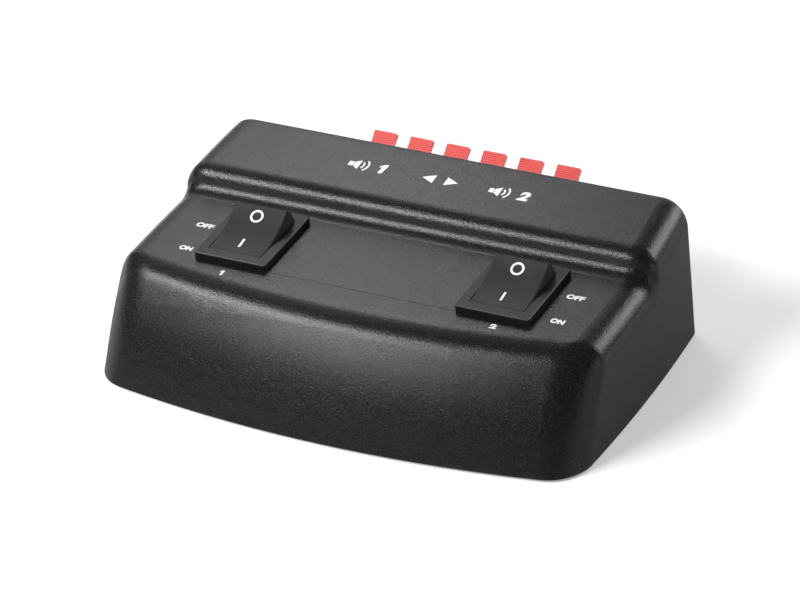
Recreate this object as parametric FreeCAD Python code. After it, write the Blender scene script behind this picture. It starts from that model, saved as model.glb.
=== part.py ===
import FreeCAD, Part
import math
import os

# Two-way speaker selector switch: a black wedge-shaped case with two rocker
# switches on its lower deck and two rows of spring lever terminals at the back.
# Millimetres. X runs to the right, Y to the back, Z up. The origin is at the
# middle of the footprint, at the height that the rubber feet stand on.

os.makedirs("parts", exist_ok=True)

Vector = FreeCAD.Vector
X_AXIS = Vector(1, 0, 0)
Y_AXIS = Vector(0, 1, 0)
Z_AXIS = Vector(0, 0, 1)
ORIGIN = Vector(0, 0, 0)

# ---------------------------------------------------------------- case, outside
case_depth = 104.6            # front edge to back wall, along the base
case_half_width = 86.2        # at the base, at the widest place
widest_from_front = 46.8
side_bow_radius = 640.0       # the side walls bow outwards in plan
side_draft = 1.9              # degrees
front_bow_radius = 412.0      # the front face bows outwards in plan
foot_clearance = 0.8          # gap under the rim of the case
back_height = 48.15           # upper deck above the rim, at the back wall
upper_deck_tilt = 6.57        # degrees
upper_deck_length = 26.9      # back wall to the start of the step
crest_radius = 6.3
step_slope = 70.0             # degrees
foot_radius = 5.5
deck_height = 36.14           # lower deck above the rim, under the switches
deck_tilt = 2.66              # degrees
switch_from_front = 50.4
deck_front_edge = 26.4        # the lower deck is flat up to here
front_edge_radius = 11.4
front_face_radius = 150.0     # the front face is slightly crowned
deck_side_radius = 9.14       # between the decks and the side walls
base_corner_radius = 12.5     # front corners, at the base
shoulder_radius = 17.0        # front corners, at the top of the front face
shoulder_growth = 9.0         # degrees of lean over which the sides' rounding grows into it
step_lean = 0.35              # the side rounding leans with the step by this share
back_edge_radius = 2.0
case_wall = 2.5

# ---------------------------------------------------------------- base and feet
plate_thickness = 3.0
plate_recess = 0.2            # base plate above the rim of the case
plate_gap = 0.25
boss_radius = 3.6
boss_inset = (14.2, 18.2)     # from the widest place: rear pair, front pair
boss_from_ends = (13.6, 26.0) # rear pair from the back, front pair from the front
case_screw_radius = 1.45
case_screw_length = 11.0
case_screw_head_radius = 2.8
case_screw_head_height = 1.4
screw_hole_gap = 0.05
head_gap = 0.3
foot_radius_of_pad = 6.0
foot_recess = 1.0
foot_inset = (26.2, 30.2)     # from the widest place: rear pair, front pair
foot_from_ends = (12.6, 20.0) # rear pair from the back, front pair from the front

# ---------------------------------------------------------------- rocker switches
switch_half_spacing = 46.2
bezel_width = 25.5
bezel_length = 31.0
bezel_height = 2.4
bezel_lip_height = 0.7        # lower layer of the bezel's edge
bezel_groove = 0.25
bezel_chamfer = 0.3
bezel_corner_radius = 0.5
bezel_seat_gap = 0.05
opening_width = 19.14
opening_sweep_radius = 12.4   # the ends of the opening follow the rocker
frame_width = 22.0
frame_length = 28.0
frame_depth = 19.0
frame_floor = 1.5
cavity_length = 24.4
cutout_gap = 0.15
snap_height = 0.9
snap_length = 3.0
rocker_width = 18.6
rocker_half_length = 10.09
rocker_edge_height = 6.67     # cap edges above the pivot
rocker_sag = 1.6              # the cap's face is dished by this
rocker_skirt = 2.5            # skirt below the pivot
rocker_skin = 1.6
rocker_edge_round = 0.3
rocker_tilt = 16.5            # degrees each side of level
pivot_below_deck = 1.03
trunnion_radius = 1.5
trunnion_length = 1.2
pivot_gap = 0.06
pole_half_spacing = 5.5
plunger_tube_radius = 2.3
plunger_radius = 1.6
plunger_gap = 0.08
plunger_tube_reach = 6.5      # below the pivot
plunger_reach = 10.0          # tip below the pivot
plunger_tip_radius = 1.2
plunger_length = 8.6
bridge_width = 4.0
bridge_thickness = 0.8
bridge_half_length = 9.2
bridge_tilt = 7.0             # degrees each side of level
bridge_gap = 0.12             # plunger tip to a level bridge
contact_radius = 1.2
contact_height = 0.6
contact_gap = 0.05
blade_width = 6.3
blade_thickness = 0.8
blade_reach = 28.0            # blade ends below the deck
blade_slot_gap = 0.05
load_blade_offset = 8.9       # behind the common blade
knife_slope = 12.0            # degrees

# ---------------------------------------------------------------- lever terminals
columns = 6
column_pitch = 13.3
row_pitch = 15.0
flange_thickness = 2.0
flange_half_width = 50.0
flange_margin = 2.2           # above and below the cells' body
flange_corner_radius = 2.5
face_thickness = 2.0
block_depth = 14.0            # flange face to the open back of the cells
block_side_wall = 1.5
block_cap_wall = 1.2
window_gap = 0.3
lever_width = 8.27
lever_angle = 42.0            # degrees above level
lever_thickness = 1.4
lever_lip_thickness = 2.0
lever_lip_length = 1.6
lever_lip_step = 0.4
lever_tip_reach = 15.2        # tip's top edge behind the back wall
lever_tip_height = 42.6       # tip's top edge above the rim, upper row
lever_corner_radius = 0.5
lever_travel = 25.0           # degrees
grip_rib_count = 8
grip_rib_pitch = 0.75
grip_rib_height = 0.2
pivot_behind_face = 4.0       # lever pivot inside the flange face
pivot_boss_radius = 1.6
pivot_pin_radius = 1.2
pivot_pin_length = 1.2
pin_gap = 0.06
cell_half_width = 4.6
cell_above_pivot = 5.8
slot_below_pivot = 0.5
slot_above_pivot = 5.0
slot_side_gap = 0.35
wire_hole_radius = 1.8
wire_hole_below_pivot = 3.7
wire_hole_lead_in = 0.6
arm_length = 6.5
arm_thickness = 1.6
arm_width = 7.0
nose_width = 5.0
nose_gap = 0.35
leaf_thickness = 0.3
leaf_width = 5.0
leaf_fold_radius = 0.65
leaf_fold_inset = 2.9         # fold's middle inside the pivot
leaf_end_inset = 7.0          # free end of the lower leg inside the pivot
leaf_angle = 41.0             # degrees between the legs
spring_seat_gap = 0.08
contact_strip_width = 5.0
contact_strip_thickness = 0.5
contact_strip_inset = 0.6     # behind the face wall
solder_tag_width = 2.0
solder_tag_length = 3.2
board_slot_gap = 0.15
board_thickness = 1.6
board_half_width = 40.0
terminal_screw_spacing = 45.0
terminal_screw_heights = (11.0, 28.0)
terminal_screw_radius = 1.45
terminal_screw_length = 8.0
terminal_screw_head_radius = 2.8
terminal_screw_head_height = 1.8
terminal_boss_radius = 3.4
terminal_boss_depth = 5.0

# ---------------------------------------------------------------- plunger springs, leads
plunger_spring_radius = 1.2
plunger_spring_wire = 0.34
plunger_spring_turns = 4
lead_radius = 0.75
lead_bend_radius = 10.0
lead_overlap = 2.0            # bare end lies along the blade for this length
load_lead_height = 9.7        # above the rim
common_lead_height = 12.7
lead_board_first = 22.0       # board ends of the leads, from the middle
lead_board_pitch = 5.0
lead_jog_start = 9.0          # behind the load blades
lead_jog_end = 5.0            # in front of the board

# ---------------------------------------------------------------- worked-out places
lever_rise = math.radians(lever_angle)
lever_overhang = lever_tip_reach + lever_lip_thickness * math.sin(lever_rise)
front_y = -(case_depth + lever_overhang) / 2
back_y = front_y + case_depth
rim_z = foot_clearance
beyond = 2 * case_half_width  # past the case on every side
plate_bottom = rim_z + plate_recess
plate_top = plate_bottom + plate_thickness
face_y = back_y + flange_thickness
board_y = face_y - block_depth
deck_slope = math.radians(deck_tilt)
upper_slope = math.radians(upper_deck_tilt)
wall_slope = math.radians(step_slope)

# The lever's middle line runs from its pivot to the tip at the lever's angle.
pivot_y = face_y - pivot_behind_face
tip_run = lever_tip_reach - flange_thickness + pivot_behind_face
tip_rise = tip_run * math.tan(lever_rise) + lever_thickness / 2 / math.cos(lever_rise)
upper_pivot_z = rim_z + lever_tip_height - tip_rise
strip_top = wire_hole_below_pivot + wire_hole_radius + 0.1
cell_below_pivot = strip_top + contact_strip_thickness
block_half_width = (columns - 1) / 2 * column_pitch + cell_half_width + block_side_wall
block_top = upper_pivot_z + cell_above_pivot + block_cap_wall
block_bottom = upper_pivot_z - row_pitch - cell_below_pivot - block_cap_wall
flange_top = block_top + flange_margin
flange_bottom = block_bottom - window_gap - 0.1


def box(x0, x1, y0, y1, z0, z1):
    return Part.makeBox(x1 - x0, y1 - y0, z1 - z0, Vector(x0, y0, z0))


def rod(radius, start, axis, length):
    return Part.makeCylinder(radius, length, start, axis)


def prism(points, x0, x1):
    """Extrude a closed outline of (y, z) points from x0 to x1."""
    corners = [Vector(x0, y, z) for y, z in points]
    face = Part.Face(Part.makePolygon(corners + corners[:1]))
    return face.extrude(Vector(x1 - x0, 0, 0))


def save(name, shapes):
    shapes = [shape.removeSplitter() for shape in shapes]
    whole = shapes[0] if len(shapes) == 1 else Part.makeCompound(shapes)
    whole.exportStep("parts/" + name + ".step")


# ---------------------------------------------------------------- the case's skin
# Side view of the case as a chain of lines and arcs in (d, h): d is the distance
# from the front edge and h the height above the rim. Each piece gives points
# (d, h, slope), where slope is that of the surface, rising towards the back.

def line_points(start, end, slope, spacing):
    length = math.hypot(end[0] - start[0], end[1] - start[1])
    count = max(1, round(length / spacing))
    points = []
    for i in range(count + 1):
        t = 0.5 - 0.5 * math.cos(math.pi * i / count)
        points.append((start[0] + (end[0] - start[0]) * t, start[1] + (end[1] - start[1]) * t, slope))
    return points


def arc_points(centre, radius, first, last, side, spacing):
    """side is 1 for an arc with its centre below the surface, -1 for one above it."""
    count = max(3, math.ceil(abs(last - first) * radius / spacing))
    points = []
    for i in range(count + 1):
        slope = first + (last - first) * i / count
        d = centre[0] - side * radius * math.sin(slope)
        h = centre[1] + side * radius * math.cos(slope)
        points.append((d, h, slope))
    return points


def upper_deck_at(d):
    return back_height - (case_depth - d) * math.tan(upper_slope)


def lower_deck_at(d):
    return deck_height + (d - switch_from_front) * math.tan(deck_slope)


def lean_of(point):
    """Angle of a point about the fan's axis, from upright, growing towards the front."""
    return math.atan2(fan_axis[0] - point[0], point[1] - fan_axis[1])


def along_slope(centre, radius, slope):
    """The point of a rounding where the surface has this slope."""
    return (centre[0] - radius * math.sin(slope), centre[1] + radius * math.cos(slope))


def front_view():
    """Centres of the front edge's and the front face's arcs, and the slope where they meet."""
    deck_end = (deck_front_edge, lower_deck_at(deck_front_edge))
    edge = (deck_end[0] + front_edge_radius * math.sin(deck_slope),
            deck_end[1] - front_edge_radius * math.cos(deck_slope))
    # The front face's arc ends at the front edge and is tangent to the edge arc.
    span = math.hypot(edge[0], edge[1])
    inner = front_face_radius - front_edge_radius
    along = (inner ** 2 - front_face_radius ** 2 + span ** 2) / (2 * span)
    across = math.sqrt(inner ** 2 - along ** 2)
    unit = (-edge[0] / span, -edge[1] / span)
    face = (edge[0] + along * unit[0] - across * unit[1], edge[1] + along * unit[1] + across * unit[0])
    if face[1] > edge[1]:
        face = (edge[0] + along * unit[0] + across * unit[1], edge[1] + along * unit[1] - across * unit[0])
    return edge, face, math.atan2(face[0] - edge[0], edge[1] - face[1])


fan_axis = (34.4, -30.0)
fan_core = 15.0
edge_centre, face_centre, face_top_slope = front_view()
face_top = along_slope(edge_centre, front_edge_radius, face_top_slope)


def side_view():
    step_start = case_depth - upper_deck_length
    crest_top = (step_start, upper_deck_at(step_start))
    crest_centre = (crest_top[0] + crest_radius * math.sin(upper_slope),
                    crest_top[1] - crest_radius * math.cos(upper_slope))
    crest = arc_points(crest_centre, crest_radius, upper_slope, wall_slope, 1, 1.2)
    # The straight wall is as long as brings the foot arc down to the lower deck.
    wall_top = crest[-1]
    above = (-math.sin(deck_slope), math.cos(deck_slope))
    foot_d = wall_top[0] - foot_radius * math.sin(wall_slope)
    foot_h = wall_top[1] + foot_radius * math.cos(wall_slope)
    height = (foot_d - switch_from_front) * above[0] + (foot_h - deck_height) * above[1]
    drop = math.cos(wall_slope) * above[0] + math.sin(wall_slope) * above[1]
    wall_length = (height - foot_radius) / drop
    foot_centre = (foot_d - wall_length * math.cos(wall_slope), foot_h - wall_length * math.sin(wall_slope))
    foot = arc_points(foot_centre, foot_radius, wall_slope, deck_slope, -1, 1.2)
    wall = line_points(wall_top[:2], foot[0][:2], wall_slope, 3.0)
    fan_start = (fan_axis[0], lower_deck_at(fan_axis[0]))
    deck_end = (deck_front_edge, lower_deck_at(deck_front_edge))
    deck = line_points(foot[-1][:2], fan_start, deck_slope, 3.0)
    deck_front = line_points(fan_start, deck_end, deck_slope, 1.4)
    below_rim = math.atan2(face_centre[0], -face_centre[1]) + 16.0 / front_face_radius
    edge = arc_points(edge_centre, front_edge_radius, deck_slope, face_top_slope, 1, 1.2)
    face = arc_points(face_centre, front_face_radius, face_top_slope, below_rim, 1, 3.0)
    deck_back = (case_depth - back_edge_radius - 1.0, upper_deck_at(case_depth - back_edge_radius - 1.0))
    upper_deck = line_points(deck_back, crest_top, upper_slope, 3.0)
    return [upper_deck, crest[1:] + wall[1:] + foot[1:], deck[1:], deck_front[1:] + edge[1:], face[1:]]


def half_width_at(d, h):
    bow = (d - widest_from_front) ** 2 / (2 * side_bow_radius)
    return case_half_width - bow - h * math.tan(math.radians(side_draft))


def front_reach(x, lean, inset):
    """Distance from the fan's axis to the skin, at x and in the direction of this lean."""
    bow = front_bow_radius - math.sqrt(front_bow_radius ** 2 - x ** 2)
    shift = (bow - fan_axis[0], bow * math.tan(deck_slope) - fan_axis[1])
    ray = (-math.sin(lean), math.cos(lean))
    deck_end = along_slope(edge_centre, front_edge_radius - inset, deck_slope)
    face_end = along_slope(edge_centre, front_edge_radius - inset, face_top_slope)
    starts = [math.atan2(-(point[0] + shift[0]), point[1] + shift[1]) for point in (deck_end, face_end)]
    if lean < starts[0]:
        above = (-math.sin(deck_slope), math.cos(deck_slope))
        height = (deck_end[0] + shift[0]) * above[0] + (deck_end[1] + shift[1]) * above[1]
        return height / (ray[0] * above[0] + ray[1] * above[1])
    centre, radius = edge_centre, front_edge_radius - inset
    if lean > starts[1]:
        centre, radius = face_centre, front_face_radius - inset
    offset = (centre[0] + shift[0], centre[1] + shift[1])
    along = ray[0] * offset[0] + ray[1] * offset[1]
    return along + math.sqrt(along ** 2 - offset[0] ** 2 - offset[1] ** 2 + radius ** 2)


def corner_radius_at(lean):
    """Rounding between the front and the sides: the decks' own where the fan starts."""
    turn = min(1.0, lean / math.radians(shoulder_growth))
    share = turn * turn * (3 - 2 * turn)
    down = max(0.0, (lean - lean_of(face_top)) / (lean_of((0.0, 0.0)) - lean_of(face_top)))
    front = base_corner_radius + (shoulder_radius - base_corner_radius) * (1 - down ** 2)
    return deck_side_radius + (front - deck_side_radius) * share


def cross_section(d, h, slope, inset, leaning):
    """Points of one open section, from the left foot over the top to the right foot.

    Behind the fan's axis a section stands upright. In front of it, it leans forward
    about the axis, and ends at a core below the case.
    """
    if leaning:
        lean = lean_of((d, h))
        radius = corner_radius_at(lean) - inset
        foot = fan_core
    else:
        d = d + inset * math.sin(slope)
        h = h - inset * math.cos(slope)
        tilt = step_lean * max(0.0, slope - upper_slope)
        radius = deck_side_radius - inset
        foot = fan_axis[1] + fan_core

    def reach(x):
        return front_reach(x, lean, inset) if leaning else h

    def place(r):
        if leaning:
            return fan_axis[0] - r * math.sin(lean), fan_axis[1] + r * math.cos(lean)
        leaned = min(h - r, radius)
        return d + leaned * math.sin(tilt), r + leaned * (1 - math.cos(tilt))

    def width(r):
        return half_width_at(*place(r)) - inset

    high_r = reach(0.8 * case_half_width) - radius - 2.0
    low = (width(foot), foot)
    high = (width(high_r), high_r)
    run = math.hypot(high[0] - low[0], high[1] - low[1])
    side = ((high[0] - low[0]) / run, (high[1] - low[1]) / run)
    inward = (-side[1], side[0])

    def corner_centre(x):
        rise = (reach(x + 0.01) - reach(x - 0.01)) / 0.02
        length = math.hypot(rise, 1.0)
        normal = (-rise / length, 1 / length)
        return (x - radius * normal[0], reach(x) - radius * normal[1]), normal

    near, far = 0.0, low[0]
    for i in range(50):
        x = (near + far) / 2
        centre, normal = corner_centre(x)
        apart = (centre[0] - low[0]) * inward[0] + (centre[1] - low[1]) * inward[1]
        if apart > radius:
            near = x
        else:
            far = x
    corner_foot = (centre[0] - inward[0] * radius, centre[1] - inward[1] * radius)
    right = []
    for i in range(7):
        t = 0.5 - 0.5 * math.cos(math.pi * i / 6)
        right.append((low[0] + (corner_foot[0] - low[0]) * t, low[1] + (corner_foot[1] - low[1]) * t))
    first = math.atan2(-inward[1], -inward[0])
    last = math.atan2(normal[1], normal[0])
    for i in range(1, 9):
        angle = first + (last - first) * i / 8
        right.append((centre[0] + radius * math.cos(angle), centre[1] + radius * math.sin(angle)))
    edge_x = right[-1][0]
    for i in range(1, 8):
        x = edge_x * math.cos(math.pi / 2 * i / 7)
        right.append((x, reach(x)))
    left = [(-x, r) for x, r in right[:-1]]
    points = []
    for x, r in left + right[::-1]:
        at = place(r)
        points.append(Vector(x, front_y + at[0], rim_z + at[1]))
    return points


def skin_sections(inset, back_round):
    """Sections from the back wall forward, and the index of each strip's last one.

    back_round rounds the outline of the back wall.
    """
    sections = []
    back = case_depth - inset
    if back_round > 0:
        for i in range(5):
            turn = math.pi / 2 * i / 4
            d = back - back_round * (1 - math.cos(turn))
            shrink = inset + back_round * (1 - math.sin(turn))
            sections.append(cross_section(d, upper_deck_at(d), 0.0, shrink, False))
    else:
        d = back - inset * math.sin(upper_slope)
        sections.append(cross_section(d, upper_deck_at(d), upper_slope, inset, False))
    last_d = back - back_round - 0.9
    strip_ends = []
    for strip in side_view():
        for d, h, slope in strip:
            if d + inset * math.sin(slope) < last_d:
                sections.append(cross_section(d, h, slope, inset, d < fan_axis[0] + 1e-6))
        strip_ends.append(len(sections) - 1)
    return sections, strip_ends


def skin_solid(inset, back_round=0.0):
    """The case's outer form, taken in by inset. It runs on below the rim."""
    sections, strip_ends = skin_sections(inset, back_round)
    surface = Part.BSplineSurface()
    surface.interpolate(sections)
    u_knots = surface.getUKnots()
    v_knots = surface.getVKnots()
    across = len(sections[0]) - 1
    columns_at = [0, 6, 14, across - 14, across - 6, across]
    faces = []
    back_edges = []
    front_edges = []
    for first, last in zip([0] + strip_ends, strip_ends):
        for left, right in zip(columns_at, columns_at[1:]):
            patch = surface.copy()
            patch.segment(u_knots[first], u_knots[last], v_knots[left], v_knots[right])
            faces.append(patch.toShape())
            if first == 0:
                back_edges.append(patch.uIso(u_knots[first]).toShape())
            if last == strip_ends[-1]:
                front_edges.append(patch.uIso(u_knots[last]).toShape())
            if left == 0:
                left_edge = patch.vIso(v_knots[left]).toShape()
        faces += Part.makeRuledSurface(left_edge, patch.vIso(v_knots[right]).toShape()).Faces
    for edges, section in ((back_edges, sections[0]), (front_edges, sections[-1])):
        closing = Part.LineSegment(section[-1], section[0]).toShape()
        faces.append(Part.Face(Part.Wire(edges + [closing])))
    shell = Part.makeShell(faces)
    shell.sewShape()
    solid = Part.makeSolid(Part.Shell(shell.Faces))
    if solid.Volume < 0:
        solid.reverse()
    return solid


# ---------------------------------------------------------------- shared places
def places(inset, from_ends):
    """Four mirrored (x, y) places: a pair by the back wall and a pair by the front."""
    rear = (case_half_width - inset[0], back_y - from_ends[0])
    front = (case_half_width - inset[1], front_y + from_ends[1])
    return [(sign * x, y) for x, y in (rear, front) for sign in (-1, 1)]


def on_deck(shape, x):
    """Set a shape made about the origin onto the lower deck, at a switch's place."""
    shape = shape.copy()
    shape.rotate(ORIGIN, X_AXIS, deck_tilt)
    shape.translate(Vector(x, front_y + switch_from_front, rim_z + deck_height))
    return shape


def cells():
    """Every terminal: colour, number, x and the height of its lever's pivot."""
    found = []
    for colour, pivot_z in (("red", upper_pivot_z), ("black", upper_pivot_z - row_pitch)):
        for i in range(columns):
            found.append((colour, i + 1, (i - (columns - 1) / 2) * column_pitch, pivot_z))
    return found


terminal_screw_places = [(sign * terminal_screw_spacing, z) for z in terminal_screw_heights for sign in (-1, 1)]
switch_places = (("switch_1", -switch_half_spacing), ("switch_2", switch_half_spacing))


# ---------------------------------------------------------------- case parts
def top_housing():
    above_rim = box(-beyond, beyond, -beyond, beyond, rim_z, beyond)
    body = skin_solid(0.0, back_edge_radius).common(above_rim)
    body = body.cut(skin_solid(case_wall))
    trim = skin_solid(case_wall / 2)
    for x, y in places(boss_inset, boss_from_ends):
        boss = rod(boss_radius, Vector(x, y, plate_top), Z_AXIS, back_height).common(trim)
        body = body.fuse(boss)
        pilot_depth = case_screw_length - plate_thickness + case_screw_head_height + 1.5
        body = body.cut(rod(case_screw_radius + screw_hole_gap, Vector(x, y, plate_top - 1), Z_AXIS, pilot_depth))
    for x, z in terminal_screw_places:
        inside = back_y - case_wall - terminal_boss_depth
        body = body.fuse(rod(terminal_boss_radius, Vector(x, inside, z), Y_AXIS, terminal_boss_depth + 1.0))
        body = body.cut(rod(terminal_screw_radius + screw_hole_gap, Vector(x, inside - 1, z), Y_AXIS, 20.0))
    window = box(-block_half_width - window_gap, block_half_width + window_gap, back_y - 10, back_y + 10,
                 block_bottom - window_gap, block_top + window_gap)
    body = body.cut(window)
    half_x = frame_width / 2 + cutout_gap
    half_s = frame_length / 2 + cutout_gap
    for name, x in switch_places:
        body = body.cut(on_deck(box(-half_x, half_x, -half_s, half_s, -12, 6), x))
    save("top_housing", [body])


def base_plate():
    slab = box(-beyond, beyond, -beyond, beyond, plate_bottom, plate_top)
    plate = skin_solid(case_wall + plate_gap).common(slab)
    for x, y in places(boss_inset, boss_from_ends):
        plate = plate.cut(rod(case_screw_radius + head_gap, Vector(x, y, 0), Z_AXIS, beyond))
        recess = case_screw_head_height + 0.2
        plate = plate.cut(rod(case_screw_head_radius + head_gap, Vector(x, y, 0), Z_AXIS, plate_bottom + recess))
    for x, y in places(foot_inset, foot_from_ends):
        plate = plate.cut(rod(foot_radius_of_pad + 0.1, Vector(x, y, 0), Z_AXIS, plate_bottom + foot_recess))
    save("base_plate", [plate])


def rubber_feet():
    feet = []
    for x, y in places(foot_inset, foot_from_ends):
        foot = rod(foot_radius_of_pad, Vector(x, y, 0), Z_AXIS, plate_bottom + foot_recess)
        rim = [edge for edge in foot.Edges if edge.BoundBox.ZMax < 0.01]
        feet.append(foot.makeFillet(0.5, rim))
    save("rubber_feet", feet)


def pan_screw(radius, length, head_radius, head_height):
    """A cross-recessed pan-head screw that points along +Z, its head below z = 0."""
    head = rod(head_radius, Vector(0, 0, -head_height), Z_AXIS, head_height)
    head = head.makeFillet(head_height * 0.45, [edge for edge in head.Edges if edge.BoundBox.ZMax < -head_height / 2])
    shank = rod(radius, ORIGIN, Z_AXIS, length - 1.5)
    point = Part.makeCone(radius, radius * 0.35, 1.5, Vector(0, 0, length - 1.5), Z_AXIS)
    screw = head.fuse([shank, point])
    for turn in (0, 90):
        slot = box(-head_radius * 0.5, head_radius * 0.5, -0.35, 0.35, -head_height - 1, -head_height * 0.45)
        slot.rotate(ORIGIN, Z_AXIS, turn)
        screw = screw.cut(slot)
    return screw


def case_screws():
    screws = []
    for x, y in places(boss_inset, boss_from_ends):
        screw = pan_screw(case_screw_radius, case_screw_length, case_screw_head_radius, case_screw_head_height)
        screw.translate(Vector(x, y, plate_bottom + case_screw_head_height + 0.2))
        screws.append(screw)
    save("case_screws", screws)


def terminal_screws():
    screws = []
    for x, z in terminal_screw_places:
        screw = pan_screw(terminal_screw_radius, terminal_screw_length,
                          terminal_screw_head_radius, terminal_screw_head_height)
        screw.rotate(ORIGIN, X_AXIS, 90)
        screw.translate(Vector(x, face_y, z))
        screws.append(screw)
    save("terminal_screws", screws)


# ---------------------------------------------------------------- lever terminals
def terminal_block():
    flange = box(-flange_half_width, flange_half_width, back_y, face_y, flange_bottom, flange_top)
    corners = [edge for edge in flange.Edges if abs(edge.tangentAt(edge.FirstParameter).y) > 0.9]
    flange = flange.makeFillet(flange_corner_radius, corners)
    body = box(-block_half_width, block_half_width, board_y, face_y, block_bottom, block_top)
    block = flange.fuse(body)
    cuts = []
    for colour, number, x, pivot_z in cells():
        cuts.append(box(x - cell_half_width, x + cell_half_width, board_y - 1, face_y - face_thickness,
                        pivot_z - cell_below_pivot, pivot_z + cell_above_pivot))
        slot = lever_width / 2 + slot_side_gap
        cuts.append(box(x - slot, x + slot, face_y - face_thickness - 1, face_y + 1,
                        pivot_z - slot_below_pivot, pivot_z + slot_above_pivot))
        hole_z = pivot_z - wire_hole_below_pivot
        cuts.append(rod(wire_hole_radius, Vector(x, face_y - face_thickness - 1, hole_z), Y_AXIS, 10))
        cuts.append(Part.makeCone(wire_hole_radius, wire_hole_radius + wire_hole_lead_in, wire_hole_lead_in,
                                  Vector(x, face_y - wire_hole_lead_in, hole_z), Y_AXIS))
        reach = lever_width / 2 + pivot_pin_length + 0.2
        cuts.append(rod(pivot_pin_radius + pin_gap, Vector(x - reach, pivot_y, pivot_z), X_AXIS, 2 * reach))
    for x, z in terminal_screw_places:
        cuts.append(rod(terminal_screw_radius + 0.15, Vector(x, back_y - 1, z), Y_AXIS, 10))
    save("terminal_block", [block.cut(cuts)])


def lever_outline():
    """Side view of the finger tab about its pivot, with grip ribs near the tip."""
    along = (math.cos(lever_rise), math.sin(lever_rise))
    up = (-math.sin(lever_rise), math.cos(lever_rise))
    length = tip_run * along[0] + tip_rise * along[1]
    half = lever_thickness / 2
    lip = half - lever_lip_thickness
    profile = [(0.5, half)]
    rib_start = length - grip_rib_pitch * (grip_rib_count + 0.5)
    for i in range(grip_rib_count):
        t = rib_start + grip_rib_pitch * i
        profile += [(t, half), (t + 0.2 * grip_rib_pitch, half - grip_rib_height),
                    (t + 0.5 * grip_rib_pitch, half - grip_rib_height), (t + 0.7 * grip_rib_pitch, half)]
    profile += [(length, half), (length, lip), (length - lever_lip_length, lip),
                (length - lever_lip_length - lever_lip_step, -half), (0.5, -half)]
    return [(t * along[0] + n * up[0], t * along[1] + n * up[1]) for t, n in profile]


def lever(x, pivot_z):
    half = lever_width / 2
    tab = prism(lever_outline(), -half, half)
    tip_y = tip_run - 0.1
    corners = [edge for edge in tab.Edges
               if edge.BoundBox.XLength < 0.01 and edge.BoundBox.YMin > tip_y and edge.Length > 1.5]
    tab = tab.makeFillet(lever_corner_radius, corners)
    boss = rod(pivot_boss_radius, Vector(-half, 0, 0), X_AXIS, lever_width)
    pins = rod(pivot_pin_radius, Vector(-half - pivot_pin_length, 0, 0), X_AXIS, lever_width + 2 * pivot_pin_length)
    arm = box(-arm_width / 2, arm_width / 2, -arm_length - arm_thickness / 2, 0, -arm_thickness / 2, arm_thickness / 2)
    nose = box(-nose_width / 2, nose_width / 2, -arm_length - arm_thickness / 2, -arm_length + arm_thickness / 2,
               -strip_top + nose_gap, 0)
    whole = tab.fuse([boss, pins, arm, nose])
    whole.translate(Vector(x, pivot_y, pivot_z))
    return whole


def lever_spring(x, pivot_z):
    """A folded leaf between the lever's arm and the roof of its cell."""
    low = arm_thickness / 2 + spring_seat_gap
    high = cell_above_pivot - spring_seat_gap
    rise = math.radians(leaf_angle)
    outer = leaf_fold_radius
    inner = leaf_fold_radius - leaf_thickness
    centre = (-leaf_fold_inset, low + outer)

    def fold(radius, angle):
        return (centre[0] + radius * math.cos(angle), centre[1] + radius * math.sin(angle))

    top_angle = math.pi / 2 - rise
    middle_angle = (top_angle - math.pi / 2) / 2
    outer_top = fold(outer, top_angle)
    inner_top = fold(inner, top_angle)
    length = (high - outer_top[1]) / math.sin(rise)
    leg = (-length * math.cos(rise), length * math.sin(rise))

    def at(point):
        return Vector(x - leaf_width / 2, pivot_y + point[0], pivot_z + point[1])

    corners = [(-leaf_end_inset, low + leaf_thickness), (-leaf_end_inset, low), fold(outer, -math.pi / 2)]
    corners = [at(point) for point in corners]
    upper = [outer_top, (outer_top[0] + leg[0], outer_top[1] + leg[1]),
             (inner_top[0] + leg[0], inner_top[1] + leg[1]), inner_top]
    upper = [at(point) for point in upper]
    last = at(fold(inner, -math.pi / 2))
    edges = [Part.LineSegment(corners[0], corners[1]).toShape(),
             Part.LineSegment(corners[1], corners[2]).toShape(),
             Part.Arc(corners[2], at(fold(outer, middle_angle)), upper[0]).toShape(),
             Part.LineSegment(upper[0], upper[1]).toShape(),
             Part.LineSegment(upper[1], upper[2]).toShape(),
             Part.LineSegment(upper[2], upper[3]).toShape(),
             Part.Arc(upper[3], at(fold(inner, middle_angle)), last).toShape(),
             Part.LineSegment(last, corners[0]).toShape()]
    return Part.Face(Part.Wire(edges)).extrude(Vector(leaf_width, 0, 0))


def contact_strip(x, pivot_z):
    front = face_y - face_thickness - contact_strip_inset
    floor = pivot_z - cell_below_pivot
    half = contact_strip_width / 2
    strip = box(x - half, x + half, board_y + 0.1, front, floor, floor + contact_strip_thickness)
    tag = box(x - solder_tag_width / 2, x + solder_tag_width / 2, board_y - solder_tag_length, board_y + 1,
              floor, floor + contact_strip_thickness)
    return strip.fuse(tag)


def terminals():
    for colour, number, x, pivot_z in cells():
        end = "_" + str(number)
        save(colour + "_lever" + end, [lever(x, pivot_z)])
        save(colour + "_lever_spring" + end, [lever_spring(x, pivot_z)])
        save(colour + "_contact" + end, [contact_strip(x, pivot_z)])


def circuit_board():
    board = box(-board_half_width, board_half_width, board_y - board_thickness, board_y, block_bottom, block_top)
    cuts = []
    for colour, number, x, pivot_z in cells():
        half = solder_tag_width / 2 + board_slot_gap
        floor = pivot_z - cell_below_pivot
        cuts.append(box(x - half, x + half, board_y - 5, board_y + 5,
                        floor - board_slot_gap, floor + contact_strip_thickness + board_slot_gap))
    save("circuit_board", [board.cut(cuts)])


# ---------------------------------------------------------------- rocker switches
# Each switch is made about the origin: X across, Y along the deck, Z out of it,
# and z = 0 on the deck. The rocker's pivot is a little below the deck.

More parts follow.
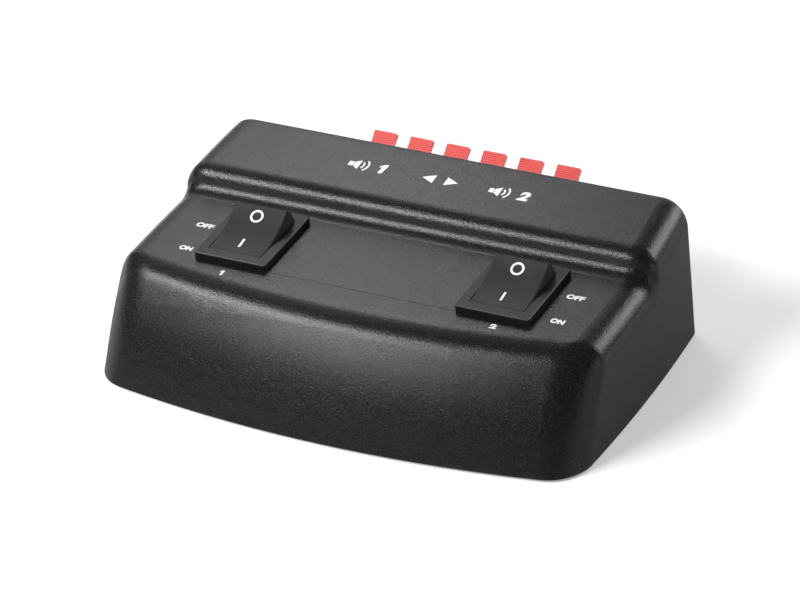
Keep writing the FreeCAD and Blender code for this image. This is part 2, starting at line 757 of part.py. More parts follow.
def tilted(shape, angle, height):
    """Turn a shape about the X axis through the given height."""
    shape.rotate(Vector(0, 0, height), X_AXIS, angle)
    return shape


pivot_z_local = -pivot_below_deck
bridge_pivot = pivot_z_local - plunger_reach - bridge_gap - bridge_thickness
bridge_slope = math.radians(bridge_tilt)
load_contact_top = (bridge_pivot - load_blade_offset * math.tan(bridge_slope)
                    - contact_height / math.cos(bridge_slope) - contact_gap - 0.15)


def switch_frame():
    seat = bezel_seat_gap
    half_x = bezel_width / 2
    half_s = bezel_length / 2
    lip = box(-half_x, half_x, -half_s, half_s, seat, seat + bezel_lip_height)
    waist = box(-half_x + bezel_groove, half_x - bezel_groove, -half_s + bezel_groove, half_s - bezel_groove,
                seat, bezel_height)
    low = seat + bezel_lip_height + bezel_groove
    upper = box(-half_x, half_x, -half_s, half_s, low, bezel_height)
    upright = [edge for edge in upper.Edges if edge.BoundBox.ZLength > 0.5]
    upper = upper.makeFillet(bezel_corner_radius, upright)
    rim = [edge for edge in upper.Edges if edge.BoundBox.ZMin > bezel_height - 0.01]
    upper = upper.makeChamfer(bezel_chamfer, rim)
    upright = [edge for edge in lip.Edges if edge.BoundBox.ZLength > 0.5]
    lip = lip.makeFillet(bezel_corner_radius, upright)
    body = box(-frame_width / 2, frame_width / 2, -frame_length / 2, frame_length / 2, -frame_depth, seat + 0.2)
    frame = upper.fuse([lip, waist, body])
    snap_top = -case_wall - 0.15
    for sign in (-1, 1):
        end = sign * frame_length / 2
        wedge = prism([(end - sign * 0.5, snap_top), (end + sign * snap_height, snap_top),
                       (end, snap_top - snap_length), (end - sign * 0.5, snap_top - snap_length)], -4.0, 4.0)
        frame = frame.fuse(wedge)
    half_open = opening_width / 2
    sweep = rod(opening_sweep_radius, Vector(-half_open, 0, pivot_z_local), X_AXIS, opening_width)
    well = box(-half_open, half_open, -cavity_length / 2, cavity_length / 2,
               -frame_depth + frame_floor, pivot_z_local)
    reach = rocker_width / 2 + trunnion_length + 0.15
    sockets = rod(trunnion_radius + pivot_gap, Vector(-reach, 0, pivot_z_local), X_AXIS, 2 * reach)
    frame = frame.cut([sweep, well, sockets])
    for x in (-pole_half_spacing, pole_half_spacing):
        for s in (0.0, load_blade_offset):
            half_t = blade_thickness / 2 + blade_slot_gap
            half_w = blade_width / 2 + blade_slot_gap
            frame = frame.cut(box(x - half_t, x + half_t, s - half_w, s + half_w, -frame_depth - 1, -frame_depth + 3))
    return frame


def rocker():
    a = rocker_half_length
    b = rocker_edge_height
    sweep = math.hypot(a, b)
    skirt = math.sqrt(sweep ** 2 - rocker_skirt ** 2)
    half = rocker_width / 2
    side = math.atan2(b, a)
    low = math.atan2(-rocker_skirt, skirt)
    mid = (side + low) / 2

    def point(s, z):
        return Vector(-half, s, z)

    outline = Part.Wire([
        Part.Arc(point(-a, b), point(0, b - rocker_sag), point(a, b)).toShape(),
        Part.Arc(point(a, b), point(sweep * math.cos(mid), sweep * math.sin(mid)), point(skirt, -rocker_skirt)).toShape(),
        Part.LineSegment(point(skirt, -rocker_skirt), point(-skirt, -rocker_skirt)).toShape(),
        Part.Arc(point(-skirt, -rocker_skirt), point(-sweep * math.cos(mid), sweep * math.sin(mid)), point(-a, b)).toShape(),
    ])
    cap = Part.Face(outline).extrude(Vector(rocker_width, 0, 0))
    top_edges = [edge for edge in cap.Edges if edge.BoundBox.ZMin > b - rocker_sag - 0.1]
    cap = cap.makeFillet(rocker_edge_round, top_edges)
    ceiling = b - rocker_sag - rocker_skin
    hollow = box(-half + rocker_skin, half - rocker_skin, -skirt + 2 * rocker_skin, skirt - 2 * rocker_skin,
                 -rocker_skirt - 1, ceiling)
    cap = cap.cut(hollow)
    pins = []
    for sign in (-1, 1):
        start = half - 0.3 if sign > 0 else -half - trunnion_length
        pins.append(rod(trunnion_radius, Vector(start, 0, 0), X_AXIS, trunnion_length + 0.3))
    for x in (-pole_half_spacing, pole_half_spacing):
        pins.append(rod(plunger_tube_radius, Vector(x, 0, -plunger_tube_reach), Z_AXIS, plunger_tube_reach + ceiling + 0.3))
    cap = cap.fuse(pins)
    for x in (-pole_half_spacing, pole_half_spacing):
        bore = rod(plunger_radius + plunger_gap, Vector(x, 0, -plunger_tube_reach - 1), Z_AXIS,
                   plunger_tube_reach + 1 + ceiling - 0.4)
        cap = cap.cut(bore)
    # The four walls under the pivot pins carry them.
    web = box(-half, half, -trunnion_radius, trunnion_radius, -trunnion_radius, ceiling)
    web = web.cut(box(-half + rocker_skin, half - rocker_skin, -5, 5, -5, ceiling + 1))
    cap = cap.fuse(web)
    cap.translate(Vector(0, 0, pivot_z_local))
    return tilted(cap, rocker_tilt, pivot_z_local)


def plunger(x):
    tip = -plunger_reach + plunger_tip_radius
    top = -plunger_reach + plunger_length
    body = rod(plunger_radius, Vector(x, 0, tip + 0.6), Z_AXIS, top - tip - 0.6)
    neck = rod(plunger_tip_radius, Vector(x, 0, tip), Z_AXIS, 1.0)
    ball = Part.makeSphere(plunger_tip_radius, Vector(x, 0, tip))
    whole = body.fuse([neck, ball])
    whole.translate(Vector(0, 0, pivot_z_local))
    return tilted(whole, rocker_tilt, pivot_z_local)


def coil(radius, wire, turns, height):
    """A flat-wire compression spring along +Z, from z = 0 to height."""
    rise = height - wire
    helix = Part.makeHelix(rise / turns, rise, radius)
    corners = [Vector(radius + dx * wire / 2, 0, dz * wire / 2) for dx, dz in ((-1, -1), (1, -1), (1, 1), (-1, 1))]
    profile = Part.makePolygon(corners + corners[:1])
    spring = Part.Wire(helix.Edges).makePipeShell([profile], True, True)
    spring.translate(Vector(0, 0, wire / 2))
    return spring


def plunger_spring(x):
    ceiling = rocker_edge_height - rocker_sag - rocker_skin - 0.4
    bottom = -plunger_reach + plunger_length + spring_seat_gap
    spring = coil(plunger_spring_radius, plunger_spring_wire, plunger_spring_turns,
                  ceiling - bottom - spring_seat_gap)
    spring.translate(Vector(x, 0, bottom + pivot_z_local))
    return tilted(spring, rocker_tilt, pivot_z_local)


def contact_bridge(x):
    half = bridge_width / 2
    strip = box(x - half, x + half, -bridge_half_length, bridge_half_length + 1.2,
                bridge_pivot, bridge_pivot + bridge_thickness)
    stop = box(x - half, x + half, -bridge_half_length, -bridge_half_length + 0.8,
               bridge_pivot - contact_height, bridge_pivot + 0.1)
    button = rod(contact_radius, Vector(x, load_blade_offset, bridge_pivot - contact_height), Z_AXIS, contact_height + 0.2)
    return tilted(strip.fuse([stop, button]), -bridge_tilt, bridge_pivot)


def common_blade(x):
    half = blade_width / 2
    drop = half * math.tan(math.radians(knife_slope))
    peak = bridge_pivot - contact_gap
    outline = [(0, peak), (half, peak - drop), (half, -blade_reach), (-half, -blade_reach), (-half, peak - drop)]
    return prism(outline, x - blade_thickness / 2, x + blade_thickness / 2)


def load_blade(x):
    half = blade_width / 2
    blade = box(x - blade_thickness / 2, x + blade_thickness / 2, load_blade_offset - half, load_blade_offset + half,
                -blade_reach, load_contact_top - contact_height)
    button = rod(contact_radius, Vector(x, load_blade_offset, load_contact_top - contact_height - 0.3), Z_AXIS,
                 contact_height + 0.3)
    return blade.fuse(button)


def lead(start_x, start_y, end_x, jog_y, height):
    """An insulated lead at one height: back along the blade, one jog, on to the board."""
    end_y = board_y - board_thickness
    corners = [Vector(start_x, start_y, height), Vector(start_x, jog_y, height),
               Vector(end_x, end_y - lead_jog_end, height), Vector(end_x, end_y, height)]
    edges = []
    previous = corners[0]
    for i in (1, 2):
        before = (corners[i - 1] - corners[i]).normalize()
        after = (corners[i + 1] - corners[i]).normalize()
        turn = math.pi - before.getAngle(after)
        shorter = min((corners[i] - corners[i - 1]).Length, (corners[i + 1] - corners[i]).Length)
        radius = min(lead_bend_radius, 0.45 * shorter / math.tan(turn / 2))
        setback = radius * math.tan(turn / 2)
        first = corners[i] + before * setback
        last = corners[i] + after * setback
        middle_way = (before + after).normalize()
        middle = corners[i] + middle_way * (radius / math.cos(turn / 2) - radius)
        edges.append(Part.LineSegment(previous, first).toShape())
        edges.append(Part.Arc(first, middle, last).toShape())
        previous = last
    edges.append(Part.LineSegment(previous, corners[3]).toShape())
    profile = Part.Wire(Part.makeCircle(lead_radius, corners[0], Y_AXIS))
    return Part.Wire(edges).makePipeShell([profile], True, False)


def switch_leads(centre):
    """Four leads from one switch's blades to the board, nearest the middle first."""
    toward_middle = -1 if centre > 0 else 1
    leads = []
    clear = blade_thickness / 2 + lead_radius
    load_y = front_y + switch_from_front + load_blade_offset + lead_overlap
    common_y = front_y + switch_from_front + lead_overlap / 2
    jog_y = load_y + lead_jog_start
    for i, pole in enumerate((1, -1)):
        pole_x = centre + toward_middle * pole * pole_half_spacing
        load_end = -toward_middle * (lead_board_first + 2 * i * lead_board_pitch)
        common_end = -toward_middle * (lead_board_first + (2 * i + 1) * lead_board_pitch)
        leads.append(lead(pole_x + toward_middle * clear, load_y, load_end, jog_y, rim_z + load_lead_height))
        leads.append(lead(pole_x - toward_middle * clear, common_y, common_end, jog_y, rim_z + common_lead_height))
    return leads


def switches():
    poles = (-pole_half_spacing, pole_half_spacing)
    for name, centre in switch_places:
        save(name + "_frame", [on_deck(switch_frame(), centre)])
        save(name + "_rocker", [on_deck(rocker(), centre)])
        save(name + "_plungers", [on_deck(plunger(x), centre) for x in poles])
        save(name + "_plunger_springs", [on_deck(plunger_spring(x), centre) for x in poles])
        save(name + "_contact_bridges", [on_deck(contact_bridge(x), centre) for x in poles])
        save(name + "_common_blades", [on_deck(common_blade(x), centre) for x in poles])
        save(name + "_load_blades", [on_deck(load_blade(x), centre) for x in poles])
        save(name + "_leads", switch_leads(centre))


top_housing()
base_plate()
rubber_feet()
case_screws()
terminal_block()
terminal_screws()
circuit_board()
terminals()
switches()
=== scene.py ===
import math

import bmesh
import bpy
from mathutils import Matrix, Vector
from mathutils.bvhtree import BVHTree


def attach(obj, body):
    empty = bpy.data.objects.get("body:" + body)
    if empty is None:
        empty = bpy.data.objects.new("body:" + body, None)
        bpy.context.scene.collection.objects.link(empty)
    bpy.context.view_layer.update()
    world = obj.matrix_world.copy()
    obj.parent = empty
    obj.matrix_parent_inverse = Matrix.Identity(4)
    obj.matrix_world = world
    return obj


# Two-way speaker selector switch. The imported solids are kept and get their
# finishes here; the printed marks and the crease in the deck are added to them.

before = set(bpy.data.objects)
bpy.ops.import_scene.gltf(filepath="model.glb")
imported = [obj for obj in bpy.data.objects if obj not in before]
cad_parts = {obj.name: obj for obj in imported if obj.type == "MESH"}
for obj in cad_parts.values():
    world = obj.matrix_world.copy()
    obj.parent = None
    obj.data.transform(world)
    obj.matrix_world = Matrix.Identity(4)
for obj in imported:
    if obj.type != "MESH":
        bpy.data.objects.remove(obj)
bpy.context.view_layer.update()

MM = 0.001

# ---------------------------------------------------------------- places on the solids
# Angles are in radians. Points and heights are in millimetres, in the frame's axes.
DECK_TILT = math.radians(2.66)
DECK_MIDDLE = (0, -10.169, 36.94)          # lower deck, in line with the switches
UPPER_TILT = math.radians(6.57)
UPPER_MIDDLE = (0, 29.8, 47.31)            # upper deck, where the title strip is
SWITCH_X = 46.2
ROCKER_PIVOT = (-10.121, 35.911)           # y and z
CAP_TILT = DECK_TILT + math.radians(16.5)
CAP_HEIGHT = 5.25                          # middle of the cap above its pivot


# ---------------------------------------------------------------- material helpers
CLOUD_SPAN = (0.35, 0.65)                  # the part of a noise's values that is used
GRAIN_SPAN = (0.3, 0.7)
# painted glints: the grain's tops get a lighter colour in place of light sparkling on the grain
PAINTED_GLINT_TOPS = (0.54, 0.68)                  # where the grain's tops start and are full
RUBBED_EDGES = (0.56, 0.75)                # pointiness where an edge starts and ends to pale
RUBBED_COLOUR = (0.5, 0.5, 0.5)
STEEP = (0.50, 0.20)                       # upward part of the normal where a wall starts and is full


def add(tree, kind, **values):
    """A shader node with its sockets or properties set by name."""
    node = tree.nodes.new(kind)
    for key, value in values.items():
        if key in node.inputs:
            node.inputs[key].default_value = value
        else:
            setattr(node, key, value)
    return node


def new_material(name):
    material = bpy.data.materials.new(name)
    material.use_nodes = True
    return material, material.node_tree, material.node_tree.nodes["Principled BSDF"]


def noise(tree, size_mm, detail=3.0, stretch=(1, 1, 1)):
    """Object-space noise whose grains are about size_mm across."""
    coords = add(tree, "ShaderNodeTexCoord")
    mapping = add(tree, "ShaderNodeMapping", Scale=stretch)
    tree.links.new(coords.outputs["Object"], mapping.inputs["Vector"])
    node = add(tree, "ShaderNodeTexNoise", Scale=1.0 / (size_mm * MM), Detail=detail)
    tree.links.new(mapping.outputs["Vector"], node.inputs["Vector"])
    return node.outputs["Fac"]


def remap(tree, value, span, to_span):
    """A value moved from one span to another, and kept inside it."""
    node = add(tree, "ShaderNodeMapRange")
    for key, number in zip(("From Min", "From Max", "To Min", "To Max"), (*span, *to_span)):
        node.inputs[key].default_value = number
    tree.links.new(value, node.inputs["Value"])
    return node.outputs["Result"]


def combine(tree, operation, first, second):
    node = add(tree, "ShaderNodeMath", operation=operation)
    tree.links.new(first, node.inputs[0])
    tree.links.new(second, node.inputs[1])
    return node.outputs[0]


def blend_colours(tree, factor, first, second):
    """Mix of two colours, each a tuple or a socket."""
    node = add(tree, "ShaderNodeMix", data_type="RGBA")
    # a mix node's sockets share their names, so its colours are told apart by number
    for socket, colour in ((node.inputs[6], first), (node.inputs[7], second)):
        if isinstance(colour, tuple):
            socket.default_value = (*colour, 1)
        else:
            tree.links.new(colour, socket)
    tree.links.new(factor, node.inputs[0])
    return node.outputs[2]


def scaled(colour, share):
    return tuple(min(1.0, part * share) for part in colour)


def add_relief(tree, shader, height, depth_mm):
    """Bump of the given depth, from a height between 0 and 1."""
    relief = add(tree, "ShaderNodeBump", Distance=depth_mm * MM)
    tree.links.new(height, relief.inputs["Height"])
    tree.links.new(relief.outputs["Normal"], shader.inputs["Normal"])


def plastic(name, colour, roughness, grain_mm, grain_depth_mm, vary=0.2, specular=0.5, cloud_mm=9.0,
            wear=0.1, wall_roughness=0.0, glint_speckle=1.0):
    """Moulded plastic: fine grain, cloudy colour and gloss, and paler rubbed edges.

    vary is how far the clouds go from the colour, and wear how far the edges pale.
    wall_roughness is added where the surface is steep, as the drafted walls of a moulding are duller.
    The last argument is the colour of the grain's tops as a multiple of the plastic's: painted glints,
    lighter tops in place of light sparkling on the grain.
    """
    material, tree, shader = new_material(name)
    cloud = remap(tree, noise(tree, cloud_mm), CLOUD_SPAN, (0, 1))
    grain = noise(tree, grain_mm, detail=2.0)
    base = blend_colours(tree, cloud, scaled(colour, 1 - vary), scaled(colour, 1 + vary))
    geometry = add(tree, "ShaderNodeNewGeometry")
    edges = remap(tree, geometry.outputs["Pointiness"], RUBBED_EDGES, (0, wear))
    base = blend_colours(tree, edges, base, RUBBED_COLOUR)
    # painted glints: the grain's tops get a lighter colour in place of light sparkling on the grain
    if glint_speckle > 1:
        base = blend_colours(tree, remap(tree, grain, PAINTED_GLINT_TOPS, (0, 1)), base, scaled(colour, glint_speckle))
    tree.links.new(base, shader.inputs["Base Color"])
    gloss = remap(tree, grain, GRAIN_SPAN, (roughness * 0.85, roughness * 1.15))
    if wall_roughness:
        upright = add(tree, "ShaderNodeSeparateXYZ")
        tree.links.new(geometry.outputs["True Normal"], upright.inputs[0])
        gloss = combine(tree, "ADD", gloss, remap(tree, upright.outputs["Z"], STEEP, (0, wall_roughness)))
    tree.links.new(gloss, shader.inputs["Roughness"])
    add_relief(tree, shader, grain, grain_depth_mm)
    shader.inputs["Specular IOR Level"].default_value = specular
    return material


METAL_CLOUD_MM = 4.0
METAL_MARK_DEPTH_MM = 0.01


def metal(name, colour, roughness, mark_mm, stretch):
    """Metal with fine marks, which are longer along an axis where they are less dense."""
    material, tree, shader = new_material(name)
    marks = noise(tree, mark_mm, stretch=stretch)
    base = blend_colours(tree, noise(tree, METAL_CLOUD_MM), scaled(colour, 0.8), colour)
    tree.links.new(base, shader.inputs["Base Color"])
    gloss = remap(tree, marks, GRAIN_SPAN, (roughness * 0.7, roughness * 1.3))
    tree.links.new(gloss, shader.inputs["Roughness"])
    add_relief(tree, shader, marks, METAL_MARK_DEPTH_MM)
    shader.inputs["Metallic"].default_value = 1.0
    return material


# ---------------------------------------------------------------- finishes
# plastic: name, colour, roughness, grain across and deep in millimetres
# metal: name, colour, roughness, marks across in millimetres, and how dense they are along x, y and z
FINISHES = {
    # the case's grain tops are painted lighter, as painted glints
    "case": plastic("case_black", (0.0055, 0.0055, 0.0060), 0.25, 0.44, 0.09, vary=0.1, specular=0.24,
                    wall_roughness=0.36, glint_speckle=3.5),
    "base": plastic("base_black", (0.02, 0.02, 0.021), 0.5, 0.5, 0.03),
    "bezel": plastic("bezel_black", (0.007, 0.007, 0.008), 0.36, 0.4, 0.008, specular=0.16, wear=0.01,
                     wall_roughness=0.3),
    "rocker": plastic("rocker_black", (0.014, 0.014, 0.015), 0.60, 0.5, 0.006, specular=0.31),
    "block": plastic("terminal_black", (0.016, 0.016, 0.017), 0.4, 0.4, 0.01),
    "red": plastic("lever_red", (0.68, 0.061, 0.052), 0.35, 0.5, 0.005, vary=0.05),
    "black": plastic("lever_black", (0.014, 0.014, 0.015), 0.3, 0.5, 0.005),
    "plunger": plastic("plunger_white", (0.6, 0.58, 0.52), 0.35, 0.5, 0.004, vary=0.06),
    "rubber": plastic("foot_rubber", (0.02, 0.02, 0.02), 0.8, 0.3, 0.02, specular=0.3),
    "lead": plastic("lead_sleeve", (0.03, 0.03, 0.032), 0.45, 0.4, 0.006),
    "board": plastic("board_brown", (0.24, 0.12, 0.045), 0.4, 0.25, 0.006, cloud_mm=2.0),
    "screw": metal("screw_steel", (0.62, 0.62, 0.64), 0.3, 0.3, (1, 1, 1)),
    "contact": metal("contact_brass", (0.82, 0.66, 0.36), 0.28, 0.2, (1, 0.1, 1)),
    "spring": metal("spring_steel", (0.6, 0.6, 0.62), 0.25, 0.2, (0.1, 1, 1)),
    "ink": plastic("print_white", (0.74, 0.74, 0.74), 0.5, 0.25, 0.006, vary=0.06, wear=0.0),
    "crease": plastic("crease_black", (0.008, 0.008, 0.008), 0.5, 0.4, 0.01, specular=0.2, wear=0.0),
}

# The first row whose word is in a node's name gives its finish.
NODE_FINISHES = (
    ("top_housing", "case"), ("base_plate", "base"), ("rubber_feet", "rubber"), ("screws", "screw"),
    ("terminal_block", "block"), ("circuit_board", "board"), ("spring", "spring"), ("plungers", "plunger"),
    ("contact", "contact"), ("blades", "contact"), ("leads", "lead"), ("frame", "bezel"),
    ("rocker", "rocker"), ("red_lever", "red"), ("black_lever", "black"),
)


def finish_nodes():
    for name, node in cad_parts.items():
        finish = next(finish for word, finish in NODE_FINISHES if word in name)
        node.data.materials.clear()
        node.data.materials.append(FINISHES[finish])


# ---------------------------------------------------------------- camera, floor and lights
def direction(azimuth, elevation):
    """From the object outwards. The azimuth is 0 in front and a quarter turn to the right."""
    return Vector((math.sin(azimuth) * math.cos(elevation), -math.cos(azimuth) * math.cos(elevation),
                   math.sin(elevation)))


CAMERA_ANGLES = (28.9089, 30.5664, -3.9942)            # azimuth, elevation and roll, in degrees
CAMERA_PLACE = (0.597806, -1.082053, 0.748967)
CAMERA_LENS = 202.5                                    # millimetres, like the sensor's width
CAMERA_SENSOR = 36
CAMERA_REACH = 20


def place_camera():
    """The photograph's viewpoint: to the front right, 31 degrees up, rolled by 4 degrees."""
    azimuth, elevation, roll = (math.radians(angle) for angle in CAMERA_ANGLES)
    away = direction(azimuth, elevation)
    level = Vector((math.cos(azimuth), math.sin(azimuth), 0))
    upward = away.cross(level)
    right = level * math.cos(roll) + upward * math.sin(roll)
    up = upward * math.cos(roll) - level * math.sin(roll)
    data = bpy.data.cameras.new("camera")
    data.lens = CAMERA_LENS
    data.sensor_width = CAMERA_SENSOR
    data.clip_end = CAMERA_REACH
    camera = bpy.data.objects.new("camera", data)
    bpy.context.scene.collection.objects.link(camera)
    turn = Matrix((right, up, away)).transposed().to_4x4()
    turn.translation = CAMERA_PLACE
    camera.matrix_world = turn
    bpy.context.scene.camera = camera


FLOOR_SIZE = 10
FLOOR_GREY = 0.70
FLOOR_LIFT = 0.30             # makes the pale floor white where nothing shades it


def lay_floor():
    bpy.ops.mesh.primitive_plane_add(size=FLOOR_SIZE)
    floor = bpy.context.object
    floor.name = "floor"
    material, tree, shader = new_material("floor_white")
    shader.inputs["Base Color"].default_value = (FLOOR_GREY, FLOOR_GREY, FLOOR_GREY, 1)
    shader.inputs["Roughness"].default_value = 0.95
    shader.inputs["Specular IOR Level"].default_value = 0.1
    shader.inputs["Emission Color"].default_value = (1, 1, 1, 1)
    rays = add(tree, "ShaderNodeLightPath").outputs
    seen = combine(tree, "MAXIMUM", rays["Is Camera Ray"], rays["Is Glossy Ray"])
    seen = combine(tree, "MAXIMUM", seen, rays["Is Transmission Ray"])
    tree.links.new(remap(tree, seen, (0, 1), (0, FLOOR_LIFT)), shader.inputs["Emission Strength"])
    floor.data.materials.append(material)


# name, azimuth and elevation in degrees, distance, width and height in metres, and radiance
LAMPS = (
    ("key_front_left", -44, 41, 1.2, 0.80, 0.17, 45.0),
    ("back_panel", -150, 30, 1.8, 2.2, 0.9, 1.2),
    ("rim_back_left", -142, 47, 0.65, 0.18, 0.12, 9.0),
    ("side_back_right", 146, 24, 1.6, 0.8, 0.6, 8.5),
    ("overhead_left", -110, 60, 1.6, 0.5, 0.45, 1.5),
    ("side_right", 88, 12, 1.6, 0.6, 0.5, 3.6),
)
WORLD_STRENGTH = 0.15


def hang_lamps():
    for name, azimuth, elevation, distance, width, height, radiance in LAMPS:
        away = direction(math.radians(azimuth), math.radians(elevation))
        data = bpy.data.lights.new(name, "AREA")
        data.shape = "RECTANGLE"
        data.size = width
        data.size_y = height
        data.energy = radiance * width * height * math.pi
        lamp = bpy.data.objects.new(name, data)
        bpy.context.scene.collection.objects.link(lamp)
        lamp.location = away * distance
        lamp.rotation_euler = away.to_track_quat("Z", "Y").to_euler()


def light_world():
    world = bpy.data.worlds.new("studio")
    bpy.context.scene.world = world
    world.use_nodes = True
    background = world.node_tree.nodes["Background"]
    background.inputs["Color"].default_value = (1, 1, 1, 1)
    background.inputs["Strength"].default_value = WORLD_STRENGTH


# ---------------------------------------------------------------- flat outlines for the marks
# Outlines are lists of (x, y) in millimetres, x to the right and y up on the mark.
def mesh_of(outlines):
    """One flat mesh of filled outlines."""
    shape = bmesh.new()
    for outline in outlines:
        shape.faces.new([shape.verts.new((x, y, 0)) for x, y in outline])
    mesh = bpy.data.meshes.new("outline")
    shape.to_mesh(mesh)
    shape.free()
    return mesh


def ring(x, y, outer, inner, first=0.0, last=360.0, steps=48):
    """A ring, or the part of one between two angles in degrees, as quads."""
    angles = [math.radians(first + (last - first) * i / steps) for i in range(steps + 1)]
    quads = []
    for a, b in zip(angles, angles[1:]):
        quads.append([(x + r * math.cos(t), y + r * math.sin(t))
                      for r, t in ((inner, a), (outer, a), (outer, b), (inner, b))])
    return quads


def bar(x, y, width, height):
    return [[(x - width / 2, y - height / 2), (x + width / 2, y - height / 2),
             (x + width / 2, y + height / 2), (x - width / 2, y + height / 2)]]


# a heavy 1 of height 1, about its middle
ONE = ((-0.13, -0.5), (0.17, -0.5), (0.17, 0.5), (-0.03, 0.5), (-0.33, 0.30), (-0.33, 0.08), (-0.13, 0.20))
LETTER_GROWTH = 0.06          # makes the plain font heavy


def digit_one(height, slant):
    """A heavy 1, which the plain font draws too thin."""
    return [[((x + y * slant) * height, y * height) for x, y in ONE]]


def words(text, width, height, slant=0.0):
    """Heavy capitals or digits, centred, and fitted to a width and height. A 1 is fitted to the height."""
    if text == "1":
        return mesh_of(digit_one(height, slant))
    curve = bpy.data.curves.new("words", "FONT")
    curve.body = text
    curve.shear = slant
    curve.offset = LETTER_GROWTH
    holder = bpy.data.objects.new("words", curve)
    bpy.context.scene.collection.objects.link(holder)
    bpy.context.view_layer.update()
    mesh = bpy.data.meshes.new_from_object(holder.evaluated_get(bpy.context.evaluated_depsgraph_get()))
    bpy.data.objects.remove(holder)
    low = Vector([min(v.co[i] for v in mesh.vertices) for i in range(3)])
    high = Vector([max(v.co[i] for v in mesh.vertices) for i in range(3)])
    for vertex in mesh.vertices:
        vertex.co.x = ((vertex.co.x - low.x) / (high.x - low.x) - 0.5) * width
        vertex.co.y = ((vertex.co.y - low.y) / (high.y - low.y) - 0.5) * height
        vertex.co.z = 0
    return mesh


# ---------------------------------------------------------------- laying marks on the solids
INK_LIFT = 0.02 * MM
INK_DEPTH = 0.03 * MM
LONGEST_EDGE = 0.9            # millimetres, so that a mark bends with the surface under it
SPLITS = 4                    # rounds of halving the long edges
PROBE_START = 4               # millimetres above the mark's plane, where a probe of the surface starts
PROBE_REACH = 12
SAME_POINT = 1e-7
surfaces = {}


def surface_of(node):
    """The node's surface for probing, made once for each node."""
    if node not in surfaces:
        surfaces[node] = BVHTree.FromObject(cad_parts[node], bpy.context.evaluated_depsgraph_get())
    return surfaces[node]


def lay_mark(name, mesh, node, body, middle, tilt, finish="ink"):
    """Lay a flat mesh on a node, about a middle point and tilted up towards the back."""
    along = Vector((0, math.cos(tilt), math.sin(tilt)))
    normal = Vector((0, -math.sin(tilt), math.cos(tilt)))
    shape = bmesh.new()
    shape.from_mesh(mesh)
    bmesh.ops.triangulate(shape, faces=shape.faces)
    for _ in range(SPLITS):
        long_edges = [edge for edge in shape.edges if edge.calc_length() > LONGEST_EDGE]
        bmesh.ops.subdivide_edges(shape, edges=long_edges, cuts=1)
        bmesh.ops.triangulate(shape, faces=shape.faces)
    tree = surface_of(node)
    for vertex in shape.verts:
        at = Vector(middle) * MM + Vector((vertex.co.x, 0, 0)) * MM + along * vertex.co.y * MM
        hit = tree.ray_cast(at + normal * PROBE_START * MM, -normal, PROBE_REACH * MM)[0]
        if hit is None:
            raise RuntimeError(name + " misses the surface")
        vertex.co = hit + normal * INK_LIFT
    bmesh.ops.remove_doubles(shape, verts=shape.verts, dist=SAME_POINT)
    bmesh.ops.recalc_face_normals(shape, faces=shape.faces)
    for face in shape.faces:
        if face.normal.dot(normal) < 0:
            face.normal_flip()
    made = bpy.data.meshes.new(name)
    shape.to_mesh(made)
    shape.free()
    piece = bpy.data.objects.new(name, made)
    bpy.context.scene.collection.objects.link(piece)
    made.materials.append(FINISHES[finish])
    thicken = piece.modifiers.new("depth", "SOLIDIFY")
    thicken.thickness = INK_DEPTH
    thicken.offset = 1
    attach(piece, body)


def on_deck(x, along):
    """A point on the lower deck's plane, across and along it from the switches' line."""
    return (x, DECK_MIDDLE[1] + along * math.cos(DECK_TILT), DECK_MIDDLE[2] + along * math.sin(DECK_TILT))


# name, text, middle across and along the deck from the switches' line, width and height
DECK_WORDS = (
    ("print_off_1", "OFF", -64.9, 2.5, 6.4, 2.5),
    ("print_on_1", "ON", -64.3, -11.4, 4.7, 2.5),
    ("print_number_1", "1", -46.3, -20.4, 1.5, 2.6),
    ("print_off_2", "OFF", 65.8, 4.1, 6.2, 2.5),
    ("print_on_2", "ON", 66.1, -9.9, 4.7, 2.5),
    ("print_number_2", "2", 48.6, -19.1, 2.5, 2.5),
)


def print_deck_words():
    for name, text, x, along, width, height in DECK_WORDS:
        lay_mark(name, words(text, width, height), "top_housing", "case", on_deck(x, along), DECK_TILT)


# the marks on a rocker's cap, from the cap's middle
ROCKER_MARKS_X = -0.2
ROCKER_O_Y = 6.3
ROCKER_O_OUTER = 2.3
ROCKER_O_INNER = 1.55
ROCKER_I_Y = -5.2
ROCKER_I_WIDTH = 0.75
ROCKER_I_HEIGHT = 4.0


def print_rocker_marks():
    marks = (
        ("o", ring(ROCKER_MARKS_X, ROCKER_O_Y, ROCKER_O_OUTER, ROCKER_O_INNER)),
        ("i", bar(ROCKER_MARKS_X, ROCKER_I_Y, ROCKER_I_WIDTH, ROCKER_I_HEIGHT)),
    )
    for number, side in ((1, -1), (2, 1)):
        middle = (side * SWITCH_X, ROCKER_PIVOT[0] - CAP_HEIGHT * math.sin(CAP_TILT),
                  ROCKER_PIVOT[1] + CAP_HEIGHT * math.cos(CAP_TILT))
        for letter, outlines in marks:
            lay_mark(f"print_rocker_{number}_{letter}", mesh_of(outlines), f"switch_{number}_rocker",
                     f"rocker_{number}", middle, CAP_TILT)


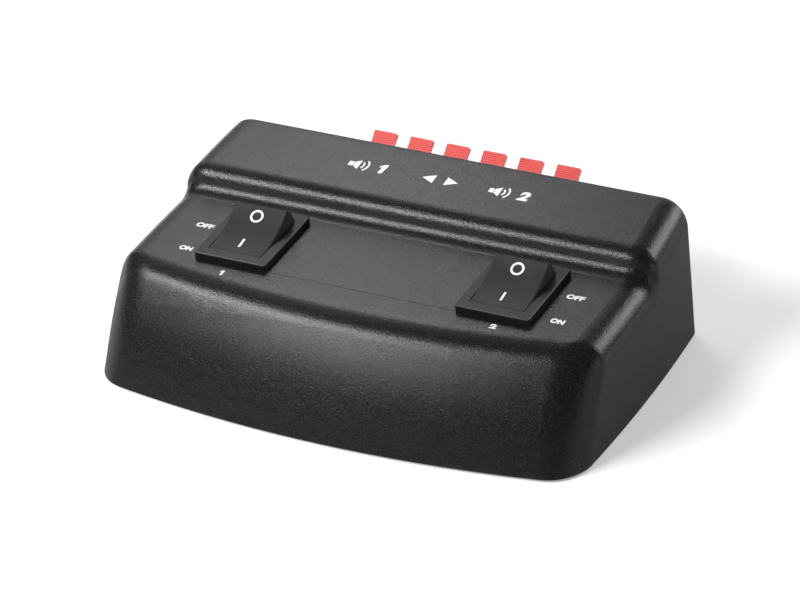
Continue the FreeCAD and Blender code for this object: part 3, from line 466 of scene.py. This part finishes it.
# the title strip's marks, across from the upper deck's middle
SPEAKERS = ((1, -27.5), (2, 23.0))         # number and x of each loudspeaker
NUMBER_OFFSET = 8.4                        # a number's middle from its loudspeaker
NUMBER_WIDTH = 3.9
NUMBER_HEIGHT = 4.8
NUMBER_SLANT = 0.14
ARROWS_MIDDLE = 1.5
ARROW_BASE = 2.0                           # from the arrows' middle
ARROW_TIP = 6.4
ARROW_HALF_HEIGHT = 2.2


def loudspeaker(x):
    """A plain loudspeaker pictogram: magnet, cone and two sound waves."""
    outlines = bar(x - 3.1, 0, 1.7, 2.2)
    outlines.append([(x - 2.0, -1.1), (x, -2.4), (x, 2.4), (x - 2.0, 1.1)])
    outlines += ring(x - 0.6, 0, 2.35, 1.75, -45, 45, 12)
    outlines += ring(x - 0.6, 0, 3.95, 3.35, -45, 45, 16)
    return outlines


def print_title():
    """Two numbered loudspeaker pictograms in the title's place, with arrowheads between them."""
    for number, x in SPEAKERS:
        lay_mark(f"print_speaker_{number}", mesh_of(loudspeaker(x)), "top_housing", "case", UPPER_MIDDLE,
                 UPPER_TILT)
        digit = words(str(number), NUMBER_WIDTH, NUMBER_HEIGHT, slant=NUMBER_SLANT)
        middle = (x + NUMBER_OFFSET, UPPER_MIDDLE[1], UPPER_MIDDLE[2])
        lay_mark(f"print_speaker_number_{number}", digit, "top_housing", "case", middle, UPPER_TILT)
    for name, side in (("left", -1), ("right", 1)):
        base = ARROWS_MIDDLE + side * ARROW_BASE
        tip = ARROWS_MIDDLE + side * ARROW_TIP
        arrow = [[(base, -ARROW_HALF_HEIGHT), (tip, 0), (base, ARROW_HALF_HEIGHT)]]
        lay_mark("print_arrow_" + name, mesh_of(arrow), "top_housing", "case", UPPER_MIDDLE, UPPER_TILT)


CREASE_ALONG = -15.2          # from the switches' line
CREASE_LENGTH = 66.4
CREASE_WIDTH = 0.14


def lay_crease():
    """The fine line across the lower deck, from bezel to bezel."""
    line = mesh_of(bar(0, 0, CREASE_LENGTH, CREASE_WIDTH))
    lay_mark("deck_crease", line, "top_housing", "case", on_deck(0, CREASE_ALONG), DECK_TILT,
             "crease")


finish_nodes()
place_camera()
lay_floor()
hang_lamps()
light_world()
print_deck_words()
print_rocker_marks()
print_title()
lay_crease()
bpy.context.scene.view_settings.view_transform = "Standard"
